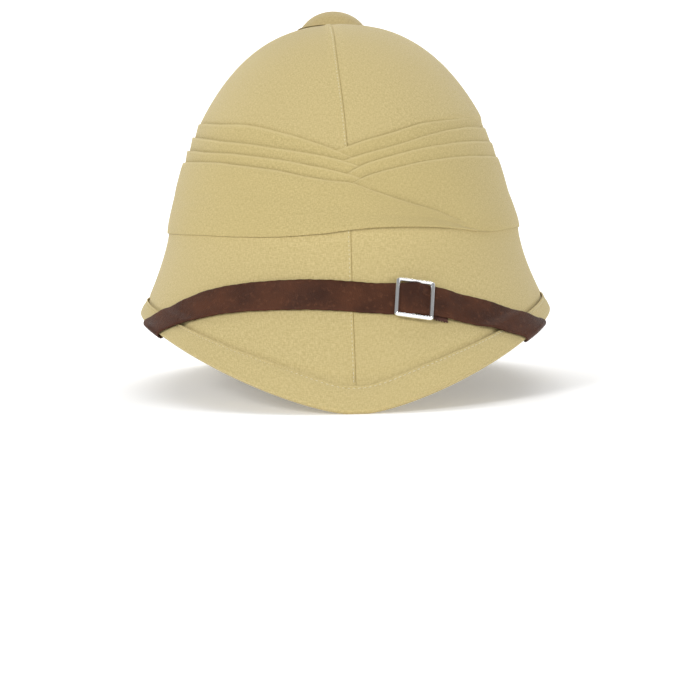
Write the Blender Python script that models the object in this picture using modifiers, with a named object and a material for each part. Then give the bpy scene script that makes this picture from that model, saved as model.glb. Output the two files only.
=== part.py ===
"""Foreign service pith helmet: stiff shell, khaki cloth cover, puggaree, button, leather strap.

Metres, +Z up. The helmet rests on the tip of its peak and on the back of its brim, at z = 0,
and faces -Y. Its surfaces are lofts: a turn goes round the helmet from the peak, and a row goes
down it, 0 at the top of the crown, 1 where the brim starts and 2 at the rim.
"""

import math

import bmesh
import bpy
from mathutils import Matrix, Vector

# Crown
CROWN_HALF_WIDTH = 0.1068
CROWN_FRONT = 0.118
CROWN_BACK = 0.120
CROWN_HEIGHT = 0.1255
CROWN_LEAN = 0.0093
POLE_SHIFT = 0.004
DOME_ROUND = 2.466
DOME_POINT = 1.42

# Brim, whose spreads are how far the rim stands out from the foot of the crown
ROOT_HEIGHT = 0.092
SIDE_SPREAD = 0.0173
PEAK_SPREAD = 0.052
TAIL_SPREAD = 0.066
SIDE_ARCH = 0.044
FLARE_SIDE = 1.34
FLARE_PEAK = 1.6
ARCH_PEAK = 1.33
ARCH_TAIL = 2.0
PEAK_FLAT = math.radians(2.5)
TAIL_FLAT = math.radians(18)

# Walls
SHELL_WALL = 0.003
CLOTH = 0.001
GAP = 0.0003
EDGE_GAP = 0.00045
TOP_HOLE_RADIUS = 0.005

# Cloth band round the crown
BAND_SEAT = 0.003
SEAT_TOP_STEP = (-0.015, 0.035)
SEAT_FOOT_STEP = (-0.05, 0.01)
BAND_CLEARANCE = 0.0007
PLEAT_EDGE_LIFT = 0.0012
PLEAT_TUCK_LIFT = 0.0002
PLEAT_GAP = 0.0004

# Hem round the rim, whose start is a share of the brim's depth
BINDING_START = 0.82
BINDING_TIP_RISE = 0.04
BINDING_TIP_POWER = 40

# Button and its stud
BUTTON_RADIUS = 0.0216
BUTTON_FOOT_RADIUS = 0.021
BUTTON_ANGLES = (90, 72, 54, 37, 20, 5)
BUTTON_STEPS = 24
BUTTON_HEIGHT = 0.0091
BUTTON_DROP = 0.0012
BUTTON_RISE = 0.0004
STUD_RADIUS = 0.0035
STUD_FLANGE_RADIUS = 0.009
STUD_FLANGE = 0.0015
STUD_SEAT = 0.0011
STUD_REACH = 0.005
STUD_STEPS = 16

# Leather strap and its slide
STRAP_WIDTH = 0.018
STRAP_WALL = 0.0018
STRAP_CLEARANCE = 0.0008
STRAP_STEP = 0.008
STRAP_FOLD_STEP = 0.0022
FOLD_CLEARANCE = 0.0008
TAIL_WALL = 0.0014
TAIL_START = 0.0025
TAIL_LENGTH = 0.018
TAIL_SLIP = 0.0012
TAIL_SPANS = 3
BUCKLE_WIDTH = 0.0202
BUCKLE_BAR = 0.0022
BUCKLE_WALL = 0.002
BUCKLE_CORNER = 0.0016
BUCKLE_BEVEL = 0.0005
CENTRE_BAR = 0.0012
CENTRE_BAR_WIDTH = 0.0018
CENTRE_BAR_POST = 0.0018
RIVET_HEAD_RADIUS = 0.005
RIVET_HEAD = 0.0012
RIVET_SHANK_RADIUS = 0.0016
RIVET_CROWN_RADIUS = 0.004
RIVET_INSET = 0.008
RIVET_STEPS = 12

# Turns of the columns from the peak to the side, and from the side to the back, as shares
PEAK_COLUMNS = (0, PEAK_FLAT / (math.pi / 2), 0.09, 0.18, 0.27, 0.36, 0.45, 0.54, 0.62, 0.70, 0.78, 0.89)
TAIL_COLUMNS = (0, 0.1, 0.2, 0.3, 0.4, 0.5, 0.6, 0.7, 0.8, 0.9)

# Rows of the shell and cover above the band, and below it; the rest follow the band
CROWN_ROWS = (0.16, 0.30, 0.42, 0.52)
BRIM_ROWS = (1.1, 1.32, 1.58, 1.82)

# Edges of the cloth band at each turn in degrees, as shares of the crown's height above its foot
BAND_COLUMNS = ("turn", "top", "middle", "low", "wrap", "hem")
BAND_TABLE = (
    (-180, 0.500, 0.445, 0.390, 0.335, 0.000),
    (-130, 0.510, 0.452, 0.395, 0.338, 0.004),
    (-82, 0.520, 0.458, 0.393, 0.338, 0.006),
    (-50, 0.493, 0.416, 0.362, 0.317, -0.003),
    (-36, 0.475, 0.393, 0.342, 0.296, -0.011),
    (-22, 0.431, 0.361, 0.312, 0.265, -0.014),
    (-9, 0.378, 0.327, 0.277, 0.224, -0.004),
    (0, 0.354, 0.304, 0.253, 0.205, 0.010),
    (7, 0.396, 0.340, 0.295, 0.243, 0.018),
    (15, 0.424, 0.367, 0.326, 0.272, 0.020),
    (28, 0.470, 0.414, 0.364, 0.306, 0.014),
    (46, 0.504, 0.461, 0.399, 0.331, -0.007),
    (72, 0.530, 0.484, 0.413, 0.345, 0.010),
    (130, 0.512, 0.455, 0.397, 0.339, 0.004),
    (180, 0.500, 0.445, 0.390, 0.335, 0.000),
)

# Upper edge of the band's outer end, which laps over the inner end at the right of the peak
LAP_COLUMNS = ("turn", "lap")
LAP_TABLE = (
    (0, 0.205),
    (8, 0.167),
    (16.5, 0.123),
    (27, 0.081),
    (36, 0.036),
    (47, -0.006),
)
LAP_TIP_TURN = 44
LAP_ROOT_TURN = 1.5

# Middle line of the strap: its reach goes down the outside of the brim from 1 to 2, the rim,
# and up the inside from 2 to 3, the crown's foot
STRAP_COLUMNS = ("turn", "reach")
STRAP_TABLE = (
    (-84, 2.88),
    (-78, 2.60),
    (-70, 2.28),
    (-61.5, 2.00),
    (-56.5, 1.79),
    (-51.6, 1.65),
    (-43, 1.53),
    (-31, 1.43),
    (-17, 1.367),
    (-4, 1.347),
    (9, 1.376),
    (18.6, 1.418),
    (29.4, 1.51),
    (38, 1.603),
    (47.8, 1.75),
    (52.5, 1.855),
    (57.5, 2.00),
    (66, 2.28),
    (74, 2.60),
    (80, 2.88),
)
BUCKLE_TURN = math.radians(17.2)

# Reach from the rim where the strap's sections turn parallel to it, and the rows where the
# strap steps up over the hem and stands off the rim
FOLD_REACH = (0.13, 0.36)
HEM_STEP_ROWS = (1.71, 1.79)
RIM_STEP_ROWS = (1.85, 1.95)

# Steps that the surface's directions and lengths are measured over
PROBE = 0.004
FINE_TURN = 0.002
SHARP_ANGLE = math.radians(50)

# Base colours, linear
KHAKI = (0.56, 0.45, 0.22)
BAND_KHAKI = (0.52, 0.41, 0.19)
PITH = (0.48, 0.40, 0.24)
BROWN = (0.085, 0.036, 0.024)
CHROME = (0.85, 0.85, 0.86)
BRASS = (0.55, 0.40, 0.18)


def ramp(value, low, high):
    """Smooth step from 0 at low to 1 at high."""
    share = min(max((value - low) / (high - low), 0), 1)
    return share * share * (3 - 2 * share)


def table_value(table, columns, name, at):
    """Smooth value of a named column between the rows of a table, by its first column."""
    column = columns.index(name)
    places = [row[0] for row in table]
    values = [row[column] for row in table]
    last = len(table) - 1
    at = min(max(at, places[0]), places[last])
    index = max(i for i in range(last) if places[i] <= at)
    slopes = []
    for i in (index, index + 1):
        before, after = max(i - 1, 0), min(i + 1, last)
        slopes.append((values[after] - values[before]) / (places[after] - places[before]))
    width = places[index + 1] - places[index]
    share = (at - places[index]) / width
    back = 1 - share
    start = (1 + 2 * share) * back * back * values[index] + share * back * back * width * slopes[0]
    end = share * share * (3 - 2 * share) * values[index + 1] - share * share * back * width * slopes[1]
    return start + end


def rim_height(turn):
    """Height of the rim above the surface it rests on: nothing at peak and tail, arched at the sides."""
    flat, power = (PEAK_FLAT, ARCH_PEAK) if math.cos(turn) > 0 else (TAIL_FLAT, ARCH_TAIL)
    share = (abs(math.sin(turn)) - math.sin(flat)) / (1 - math.sin(flat))
    return SIDE_ARCH * max(share, 0) ** power


def middle():
    """Shift along Y that puts the origin halfway between the peak's tip and the tail."""
    return (CROWN_FRONT + PEAK_SPREAD - CROWN_BACK - TAIL_SPREAD) / 2


def crown_point(row, turn):
    """Point of the smooth outer surface of the crown."""
    spread = math.sin(row * math.pi / 2)
    across = spread * math.sin(turn) - POLE_SHIFT / CROWN_HALF_WIDTH * (1 - spread) ** 2
    along = -spread * math.cos(turn)
    share = min(math.hypot(across, along), 1)
    height = (1 - share ** DOME_ROUND) ** (1 / DOME_POINT)
    length = CROWN_FRONT if along < 0 else CROWN_BACK
    y = length * along + CROWN_LEAN * height + middle()
    return Vector((CROWN_HALF_WIDTH * across, y, ROOT_HEIGHT + CROWN_HEIGHT * height))


def brim_point(depth, turn):
    """Point of the smooth outer surface of the brim, whose depth is 0 at the crown and 1 at the rim."""
    front = math.cos(turn) > 0
    length = CROWN_FRONT if front else CROWN_BACK
    spread = PEAK_SPREAD if front else TAIL_SPREAD
    x = math.sin(turn) * (CROWN_HALF_WIDTH + SIDE_SPREAD * depth ** FLARE_SIDE)
    y = -math.cos(turn) * (length + spread * depth ** FLARE_PEAK) + middle()
    return Vector((x, y, ROOT_HEIGHT + (rim_height(turn) - ROOT_HEIGHT) * depth))


def skin_point(row, turn):
    """Point of the smooth outer surface of the helmet."""
    return crown_point(row, turn) if row <= 1 else brim_point(row - 1, turn)


def skin_axes(row, turn):
    """Unit vectors of the smooth surface: straight out of it, and down along it."""
    step = PROBE / 2
    down = skin_point(row + step, turn) - skin_point(row - step, turn)
    around = skin_point(row, turn + step) - skin_point(row, turn - step)
    return down.cross(around).normalized(), down.normalized()


def row_at_height(share, turn):
    """Row whose height above the crown's foot is a share of the crown's height."""
    if share < 0:
        return 1 - share * CROWN_HEIGHT / (ROOT_HEIGHT - rim_height(turn))
    spread = (1 - share ** DOME_POINT) ** (1 / DOME_ROUND)
    return math.asin(spread) * 2 / math.pi


def band_edge(name, turn):
    """Height of one edge of the cloth band at a turn, as a share of the crown's height."""
    degrees = math.degrees(turn)
    if degrees > 180:
        degrees -= 360
    return table_value(BAND_TABLE, BAND_COLUMNS, name, degrees)


def seat_steps(turn):
    """Rows where the seat of the cloth band starts and reaches its depth, and where it ends again."""
    top = row_at_height(band_edge("top", turn), turn)
    hem = row_at_height(band_edge("hem", turn), turn)
    return [top + step for step in SEAT_TOP_STEP], [hem + step for step in SEAT_FOOT_STEP]


def seat_depth(row, turn):
    """How far the cover and shell are sunk where the cloth band lies."""
    top, foot = seat_steps(turn)
    return BAND_SEAT * ramp(row, *top) * (1 - ramp(row, *foot))


def skin_rows(turn):
    """Rows of the shell and cover at a turn, from the top hole down."""
    top, foot = seat_steps(turn)
    third = (foot[0] - top[1]) / 3
    between = [top[1] + third, top[1] + 2 * third]
    return [hole_row(), *CROWN_ROWS, *top, *between, *foot, *BRIM_ROWS]


def layer_point(row, turn, lift):
    """Point at a lift above the cover's outer face."""
    out, _ = skin_axes(row, turn)
    return skin_point(row, turn) + out * (lift - seat_depth(row, turn))


def edge_point(turn, lift, rise):
    """Point of a layer's lower edge, cut level at a rise above the rim."""
    out, down = skin_axes(2, turn)
    point = skin_point(2, turn) + out * lift
    return point + down * ((rim_height(turn) + rise - point.z) / down.z)


def quarter_turns():
    """Turns of all the columns, once round from the peak, with one on each seam."""
    quarter = math.pi / 2
    front = [share * quarter for share in PEAK_COLUMNS]
    back = [quarter + share * quarter for share in TAIL_COLUMNS]
    half = front + back
    return half + [math.pi] + [2 * math.pi - turn for turn in reversed(half[1:])]


def make_material(name, colour, roughness, metallic=0.0):
    """Principled material with one colour."""
    material = bpy.data.materials.new(name)
    material.use_nodes = True
    shader = material.node_tree.nodes["Principled BSDF"]
    shader.inputs["Base Color"].default_value = (*colour, 1)
    shader.inputs["Roughness"].default_value = roughness
    shader.inputs["Metallic"].default_value = metallic
    material.diffuse_color = (*colour, 1)
    return material


def add_object(name, mesh, material, collection):
    """Object for a mesh, in its collection and with its material."""
    item = bpy.data.objects.new(name, mesh)
    if material:
        mesh.materials.append(material)
    collection.objects.link(item)
    return item


def sweep(name, sections, material, collection, closed):
    """Closed solid through sections of as many points each, whose second half runs back up.

    Both halves of a wall get the same diagonals, so that neighbouring layers stay parallel.
    """
    count = len(sections[0])
    shape = bmesh.new()
    rings = [[shape.verts.new(point) for point in section] for section in sections]
    pairs = list(zip(rings, rings[1:]))
    if closed:
        pairs.append((rings[-1], rings[0]))
    for first, second in pairs:
        for i in range(count):
            k = (i + 1) % count
            if i < count // 2:
                shape.faces.new((first[i], second[i], second[k]))
                shape.faces.new((first[i], second[k], first[k]))
            else:
                shape.faces.new((first[i], second[i], first[k]))
                shape.faces.new((second[i], second[k], first[k]))
    if not closed:
        for ring in (rings[0], rings[-1]):
            for i in range(count // 2 - 1):
                shape.faces.new((ring[i], ring[i + 1], ring[count - 2 - i], ring[count - 1 - i]))
    bmesh.ops.recalc_face_normals(shape, faces=shape.faces)
    mesh = bpy.data.meshes.new(name)
    shape.to_mesh(mesh)
    shape.free()
    mesh.shade_smooth()
    mesh.set_sharp_from_angle(angle=SHARP_ANGLE)
    return add_object(name, mesh, material, collection)


def turned(name, profile, steps, matrix, material, collection):
    """Closed turned solid from a profile of radius and height that runs down its outer side."""
    mesh = bpy.data.meshes.new(name)
    points = [(radius, 0, height) for radius, height in profile]
    mesh.from_pydata(points, [(i, i + 1) for i in range(len(points) - 1)], [])
    item = add_object(name, mesh, material, collection)
    item.matrix_world = matrix
    screw = item.modifiers.new("Screw", "SCREW")
    screw.steps = steps
    screw.render_steps = steps
    screw.use_merge_vertices = True
    screw.merge_threshold = 0.00001
    screw.use_smooth_shade = True
    return item


def hole_row():
    """Row of the hole's edge at the top of the crown."""
    return math.asin(TOP_HOLE_RADIUS / CROWN_HALF_WIDTH) * 2 / math.pi


def wall_section(turn, outer, inner, side_shift):
    """Section of a wall from the top hole to its edge, between two lifts of the cover's face."""
    rows = skin_rows(turn)
    rise = CLOTH + EDGE_GAP
    outside = [layer_point(row, turn, outer) for row in rows] + [edge_point(turn, outer, rise)]
    inside = [layer_point(row, turn, inner) for row in rows] + [edge_point(turn, inner, rise)]
    return [point + side_shift for point in outside + inside[::-1]]


def make_shell(material, collection):
    """Stiff moulded body: crown and brim in one wall, open below and at the top hole."""
    outer = -CLOTH - GAP
    sections = [wall_section(turn, outer, outer - SHELL_WALL, Vector()) for turn in quarter_turns()]
    return sweep("shell", sections, material, collection, closed=True)


def make_cover(material, collection):
    """Four cloth panels of the cover, which meet at the peak, the tail and the sides."""
    turns = quarter_turns() + [2 * math.pi]
    columns = len(PEAK_COLUMNS), len(TAIL_COLUMNS)
    stops = [0, columns[0], sum(columns), columns[0] + 2 * columns[1], 2 * sum(columns)]
    names = ("cover_front_right", "cover_back_right", "cover_back_left", "cover_front_left")
    for name, start, stop in zip(names, stops, stops[1:]):
        sections = []
        for index in range(start, stop + 1):
            turn = turns[index]
            along_seam = Vector((math.cos(turn), math.sin(turn), 0)) * GAP / 2
            side_shift = Vector()
            if index == start:
                side_shift = along_seam
            elif index == stop:
                side_shift = -along_seam
            sections.append(wall_section(turn, 0, -CLOTH, side_shift))
        sweep(name, sections, material, collection, closed=False)


def binding_row(turn):
    """Row where the hem round the rim starts, a little lower at the tip of the peak."""
    return 1 + BINDING_START + BINDING_TIP_RISE * max(math.cos(turn), 0) ** BINDING_TIP_POWER


def make_binding(material, collection):
    """Hem of cloth folded round the rim, from its stitched edge outside to the same height inside."""
    near, far = GAP, -CLOTH - GAP - SHELL_WALL - GAP
    sections = []
    for turn in quarter_turns():
        start = binding_row(turn)
        rows = (start, (start + 2) / 2)
        outer = [layer_point(row, turn, near + CLOTH) for row in rows]
        outer.append(edge_point(turn, near + CLOTH, 0))
        inner = [layer_point(row, turn, far - CLOTH) for row in rows]
        inner.append(edge_point(turn, far - CLOTH, 0))
        lining = [layer_point(row, turn, far) for row in rows]
        lining.append(edge_point(turn, far, CLOTH))
        facing = [layer_point(row, turn, near) for row in rows]
        facing.append(edge_point(turn, near, CLOTH))
        sections.append(outer + inner[::-1] + lining + facing[::-1])
    return sweep("brim_binding", sections, material, collection, closed=True)


def band_section(turn, upper, lower, upper_lift, lower_lift, rows):
    """Section of a strip of the cloth band between two heights, thicker at its folded upper edge."""
    outside, inside = [], []
    for i in range(rows + 1):
        share = i / rows
        row = row_at_height(upper + (lower - upper) * share, turn)
        out, _ = skin_axes(row, turn)
        lift = upper_lift + (lower_lift - upper_lift) * share
        outside.append(skin_point(row, turn) + out * lift)
        inside.append(layer_point(row, turn, BAND_CLEARANCE))
    return outside + inside[::-1]


def lap_edge(turn):
    """Height of the upper edge of the band's outer end, as a share of the crown's height."""
    return table_value(LAP_TABLE, LAP_COLUMNS, "lap", math.degrees(turn))


def make_pleats(material, collection):
    """Three narrow pleats, each once round the crown from one side of the front crossing to the other."""
    crossing = GAP / CROWN_FRONT / 2
    turns = [crossing] + quarter_turns()[1:] + [2 * math.pi - crossing]
    gap = PLEAT_GAP / CROWN_HEIGHT
    names = ("top", "middle", "low", "wrap")
    for name, below in zip(names, names[1:]):
        sections = []
        for turn in turns:
            upper, lower = band_edge(name, turn), band_edge(below, turn) + gap
            sections.append(band_section(turn, upper, lower, PLEAT_EDGE_LIFT, PLEAT_TUCK_LIFT, 1))
        sweep("puggaree_pleat_" + name, sections, material, collection, closed=False)


def make_wrap(material, collection):
    """Wide last turn of the band, from its outer end at the right, across the front and once round."""
    tip, root = math.radians(LAP_TIP_TURN), math.radians(LAP_ROOT_TURN)
    gap = PLEAT_GAP / CROWN_HEIGHT
    around = quarter_turns()
    tongue = [turn for turn in around if root < turn < tip]
    sections = []
    for turn in [tip] + tongue[::-1] + [root]:
        edges = lap_edge(turn), band_edge("hem", turn)
        sections.append(band_section(turn, *edges, PLEAT_EDGE_LIFT, PLEAT_EDGE_LIFT, 2))
    first_turn = [0.0] + [turn for turn in around if turn > root][::-1] + [root]
    for turn in first_turn:
        lower = band_edge("hem", turn)
        if 0 < turn < math.radians(LAP_TABLE[-1][0]):
            lower = lap_edge(turn) + gap
        edges = band_edge("wrap", turn), lower
        sections.append(band_section(turn, *edges, PLEAT_EDGE_LIFT, PLEAT_EDGE_LIFT, 2))
    return sweep("puggaree_wrap", sections, material, collection, closed=False)


def pole_place():
    """Top of the crown, where the button sits."""
    return Vector((-POLE_SHIFT, CROWN_LEAN + middle(), ROOT_HEIGHT + CROWN_HEIGHT))


def make_button(cloth, metal, collection):
    """Cloth covered cap on the crown, and the stud that holds it through the top hole."""
    place = Matrix.Translation(pole_place())
    bore = STUD_RADIUS + GAP
    bore_top = STUD_REACH + GAP
    cap = []
    for degrees in BUTTON_ANGLES:
        angle = math.radians(degrees)
        drop = BUTTON_DROP * math.cos(angle)
        cap.append((BUTTON_RADIUS * math.cos(angle), BUTTON_HEIGHT * math.sin(angle) - drop))
    cap += [(BUTTON_FOOT_RADIUS, -BUTTON_DROP + GAP), (STUD_FLANGE_RADIUS, BUTTON_RISE)]
    cap += [(bore, BUTTON_RISE), (bore, bore_top), (0, bore_top)]
    turned("top_button", cap, BUTTON_STEPS, place, cloth, collection)
    under = -CLOTH - GAP - SHELL_WALL - STUD_SEAT
    flange = under - STUD_FLANGE
    stud = [(0, STUD_REACH), (STUD_RADIUS, STUD_REACH), (STUD_RADIUS, under)]
    stud += [(STUD_FLANGE_RADIUS, under), (STUD_FLANGE_RADIUS, flange), (0, flange)]
    turned("button_stud", stud, STUD_STEPS, place, metal, collection)


def outer_wall(row):
    """Lift of the outside of the brim above the smooth surface, raised on the hem."""
    hem = (GAP + CLOTH) * ramp(row, *HEM_STEP_ROWS)
    return hem + FOLD_CLEARANCE * ramp(row, *RIM_STEP_ROWS)


def inner_wall(row):
    """Depth of the inside below the smooth surface: the walls, and the hem's inner leg."""
    hem = (GAP + CLOTH + FOLD_CLEARANCE) * ramp(row, *HEM_STEP_ROWS)
    return CLOTH + GAP + SHELL_WALL + hem


def wrap_point(turn, reach, lift):
    """Point at a lift above the helmet, down its outside, round its rim and up its inside."""
    half = (outer_wall(2) + inner_wall(2)) / 2
    depth = (skin_point(2, turn) - skin_point(1, turn)).length
    bend = math.pi * half / 2 / depth
    if abs(reach - 2) < bend:
        out, down = skin_axes(2, turn)
        centre = skin_point(2, turn) + out * (outer_wall(2) - half)
        angle = (reach - 2 + bend) / (2 * bend) * math.pi
        return centre + (out * math.cos(angle) + down * math.sin(angle)) * (half + lift)
    inside = reach > 2
    row = 2 - (abs(reach - 2) - bend) / (1 - bend)
    out, _ = skin_axes(row, turn)
    away = -inner_wall(row) - lift if inside else outer_wall(row) + lift
    return skin_point(row, turn) + out * away


def wrap_slopes(turn, reach):
    """How far a point on the helmet moves with its turn, and with its reach."""
    around = wrap_point(turn + PROBE, reach, 0) - wrap_point(turn - PROBE, reach, 0)
    down = wrap_point(turn, reach + PROBE, 0) - wrap_point(turn, reach - PROBE, 0)
    return around / (2 * PROBE), down / (2 * PROBE)


def strap_place(turn):
    """Turn and reach of the strap's middle line where it passes a turn."""
    return turn, table_value(STRAP_TABLE, STRAP_COLUMNS, "reach", math.degrees(turn))


def strap_axes(turn):
    """Unit vectors of the strap at a turn: along it, across it and up from the helmet."""
    along = wrap_point(*strap_place(turn + PROBE), 0) - wrap_point(*strap_place(turn - PROBE), 0)
    around, down = wrap_slopes(*strap_place(turn))
    up = down.cross(around).normalized()
    along.normalize()
    return along, up.cross(along).normalized(), up


def beside_strap(turn, width, lift):
    """Point beside the strap's middle line, a width across it on the helmet's surface.

    Where the strap folds round the rim, its sections turn parallel to the rim.
    """
    _, reach = strap_place(turn)
    along, across, up = strap_axes(turn)
    around, down = wrap_slopes(turn, reach)
    metric = Matrix(((around.dot(around), around.dot(down)), (around.dot(down), down.dot(down))))
    toward_rim = up.cross(around)
    skew = -across.dot(toward_rim) / along.dot(toward_rim) * (1 - ramp(abs(reach - 2), *FOLD_REACH))
    goal = (across + along * skew) * width
    move = metric.inverted() @ Vector((around.dot(goal), down.dot(goal)))
    return wrap_point(turn + move.x, reach + move.y, lift)


def strap_turns():
    """Turns along the strap, in even steps and closer where it folds round the rim."""
    start, stop = math.radians(STRAP_TABLE[0][0]), math.radians(STRAP_TABLE[-1][0])
    turns, turn = [start], start
    last = wrap_point(*strap_place(turn), 0)
    while turn < stop:
        turn += FINE_TURN
        point = wrap_point(*strap_place(turn), 0)
        fold = abs(strap_place(turn)[1] - 2) < FOLD_REACH[0]
        if (point - last).length > (STRAP_FOLD_STEP if fold else STRAP_STEP):
            turns.append(turn)
            last = point
    turns[-1] = stop
    return turns


def along_strap(distance):
    """Turn of the strap's middle line at a distance to the right of the buckle."""
    turn = BUCKLE_TURN
    last = wrap_point(*strap_place(turn), 0)
    run = 0
    while run < abs(distance):
        turn += math.copysign(FINE_TURN, distance)
        point = wrap_point(*strap_place(turn), 0)
        run += (point - last).length
        last = point
    return turn


def strap_lift(turn):
    """Lift of the strap's under face: over the slide's centre bar and the doubled end."""
    bar = CENTRE_BAR + GAP
    doubled = TAIL_WALL + GAP
    rise = ramp(turn, along_strap(-BUCKLE_WIDTH / 2 - CENTRE_BAR), along_strap(-CENTRE_BAR))
    fall = ramp(turn, along_strap(TAIL_LENGTH + STRAP_STEP), along_strap(TAIL_LENGTH + 2 * STRAP_STEP))
    raised = STRAP_CLEARANCE + max(bar, doubled)
    return STRAP_CLEARANCE + (raised - STRAP_CLEARANCE) * rise * (1 - fall)


def strap_section(turn, low, high, lift, wall):
    """Section of a leather layer between two places across the strap."""
    widths = (low, (low + high) / 2, high)
    under = [beside_strap(turn, width, lift) for width in widths]
    over = [beside_strap(turn, width, lift + wall) for width in widths]
    return under + over[::-1]


def rivet_place(end):
    """Matrix of the rivet near one end of the strap, with Z into the helmet."""
    sign = 1 if end > 0 else -1
    turn, last = math.radians(end), wrap_point(*strap_place(math.radians(end)), 0)
    while (wrap_point(*strap_place(turn), 0) - last).length < RIVET_INSET:
        turn -= sign * FINE_TURN / 2
    _, _, up = strap_axes(turn)
    point = wrap_point(*strap_place(turn), 0)
    return Matrix.Translation(point) @ up.to_track_quat("Z", "Y").to_matrix().to_4x4()


def make_cutter(name, matrix, radius, low, high, collection):
    """Plain round cutter along a matrix's Z, between two heights."""
    shape = bmesh.new()
    place = matrix @ Matrix.Translation((0, 0, (low + high) / 2))
    bmesh.ops.create_cone(shape, cap_ends=True, segments=RIVET_STEPS, radius1=radius, radius2=radius,
                          depth=high - low, matrix=place)
    mesh = bpy.data.meshes.new(name)
    shape.to_mesh(mesh)
    shape.free()
    cutter = add_object(name, mesh, None, collection)
    cutter.display_type = "WIRE"
    cutter.hide_render = True
    return cutter


def cut(item, cutter):
    """Boolean difference that stays on the object."""
    boolean = item.modifiers.new("Cut", "BOOLEAN")
    boolean.operation = "DIFFERENCE"
    boolean.solver = "EXACT"
    boolean.object = cutter


def make_strap(leather, collection):
    """Leather strap from one rivet inside, under the rim and over the front of the brim, to the other."""
    half = STRAP_WIDTH / 2
    sections = [strap_section(turn, -half, half, strap_lift(turn), STRAP_WALL) for turn in strap_turns()]
    return sweep("chin_strap", sections, leather, collection, closed=False)


def make_strap_tail(leather, collection):
    """Cut end of the strap, doubled back under it at the right of the buckle and slipped a little low."""
    half = STRAP_WIDTH / 2
    sections = []
    for i in range(TAIL_SPANS + 1):
        turn = along_strap(TAIL_START + (TAIL_LENGTH - TAIL_START) * i / TAIL_SPANS)
        slip = TAIL_SLIP * i / TAIL_SPANS
        sections.append(strap_section(turn, -half - slip, half - slip, STRAP_CLEARANCE, TAIL_WALL))
    return sweep("strap_tail", sections, leather, collection, closed=False)


def make_rivets(shell, strap, metal, collection, cutters):
    """Plain rivets through the strap's ends and the shell behind them."""
    over = STRAP_CLEARANCE + STRAP_WALL + 2 * GAP
    into = -SHELL_WALL + GAP
    for name, end in (("left", STRAP_TABLE[0][0]), ("right", STRAP_TABLE[-1][0])):
        place = rivet_place(end)
        profile = [(0, over + RIVET_HEAD), (RIVET_CROWN_RADIUS, over + RIVET_HEAD)]
        profile += [(RIVET_HEAD_RADIUS, over + RIVET_HEAD / 2), (RIVET_HEAD_RADIUS, over)]
        profile += [(RIVET_SHANK_RADIUS, over), (RIVET_SHANK_RADIUS, into), (0, into)]
        turned("strap_rivet_" + name, profile, RIVET_STEPS, place, metal, collection)
        reach = SHELL_WALL + over + RIVET_HEAD
        radius = RIVET_SHANK_RADIUS + GAP
        cutter = make_cutter("rivet_cutter_" + name, place, radius, -reach, reach, cutters)
        cut(shell, cutter)
        cut(strap, cutter)


def rounded_outline(curve, width, height, corner, clockwise):
    """Closed straight-sided outline with rounded corners, as a spline of a flat curve."""
    points = []
    for corner_index in range(4):
        sx, sy = ((1, 1), (-1, 1), (-1, -1), (1, -1))[corner_index]
        for step in range(3):
            angle = math.pi / 2 * (corner_index + step / 2)
            x = sx * (width / 2 - corner) + corner * math.cos(angle)
            y = sy * (height / 2 - corner) + corner * math.sin(angle)
            points.append((x, y))
    if clockwise:
        points.reverse()
    spline = curve.splines.new("POLY")
    spline.points.add(len(points) - 1)
    for point, (x, y) in zip(spline.points, points):
        point.co = (x, y, 0, 1)
    spline.use_cyclic_u = True


def buckle_place():
    """Matrix of the slide: X along the strap, Y up the brim, Z out, on the strap's raised top."""
    along, across, up = strap_axes(BUCKLE_TURN)
    half = BUCKLE_WIDTH / 2 - BUCKLE_BAR / 2
    tops = []
    for side in (-half, half):
        turn = along_strap(side)
        tops.append(beside_strap(turn, 0, strap_lift(turn) + STRAP_WALL + 3 * GAP))
    along = (tops[1] - tops[0]).normalized()
    across = up.cross(along).normalized()
    up = along.cross(across).normalized()
    base = (tops[0] + tops[1]) / 2
    matrix = Matrix((along, across, up)).transposed().to_4x4()
    return Matrix.Translation(base) @ matrix


def make_buckle(metal, collection):
    """Square slide with its centre bar set behind it, under the strap."""
    place = buckle_place()
    window_height = STRAP_WIDTH + 2 * GAP
    height = window_height + 2 * BUCKLE_BAR
    outline = bpy.data.curves.new("buckle_outline", "CURVE")
    outline.dimensions = "2D"
    outline.fill_mode = "BOTH"
    outline.extrude = BUCKLE_WALL / 2
    rounded_outline(outline, BUCKLE_WIDTH, height, BUCKLE_CORNER, False)
    rounded_outline(outline, BUCKLE_WIDTH - 2 * BUCKLE_BAR, window_height, BUCKLE_CORNER / 2, True)
    source = bpy.data.objects.new("buckle_outline", outline)
    collection.objects.link(source)
    bpy.context.view_layer.update()
    mesh = bpy.data.meshes.new_from_object(source.evaluated_get(bpy.context.evaluated_depsgraph_get()))
    bpy.data.objects.remove(source)
    shape = bmesh.new()
    shape.from_mesh(mesh)
    bmesh.ops.translate(shape, verts=shape.verts, vec=(0, 0, BUCKLE_WALL / 2))
    bmesh.ops.remove_doubles(shape, verts=shape.verts, dist=0.00001)
    shape.to_mesh(mesh)
    shape.free()
    mesh.name = "buckle"
    item = add_object("buckle", mesh, metal, collection)
    item.matrix_world = place
    bevel = item.modifiers.new("Bevel", "BEVEL")
    bevel.width = BUCKLE_BEVEL
    bevel.segments = 1
    bevel.limit_method = "ANGLE"
    bevel.angle_limit = math.radians(60)
    return item, place, height


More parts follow.
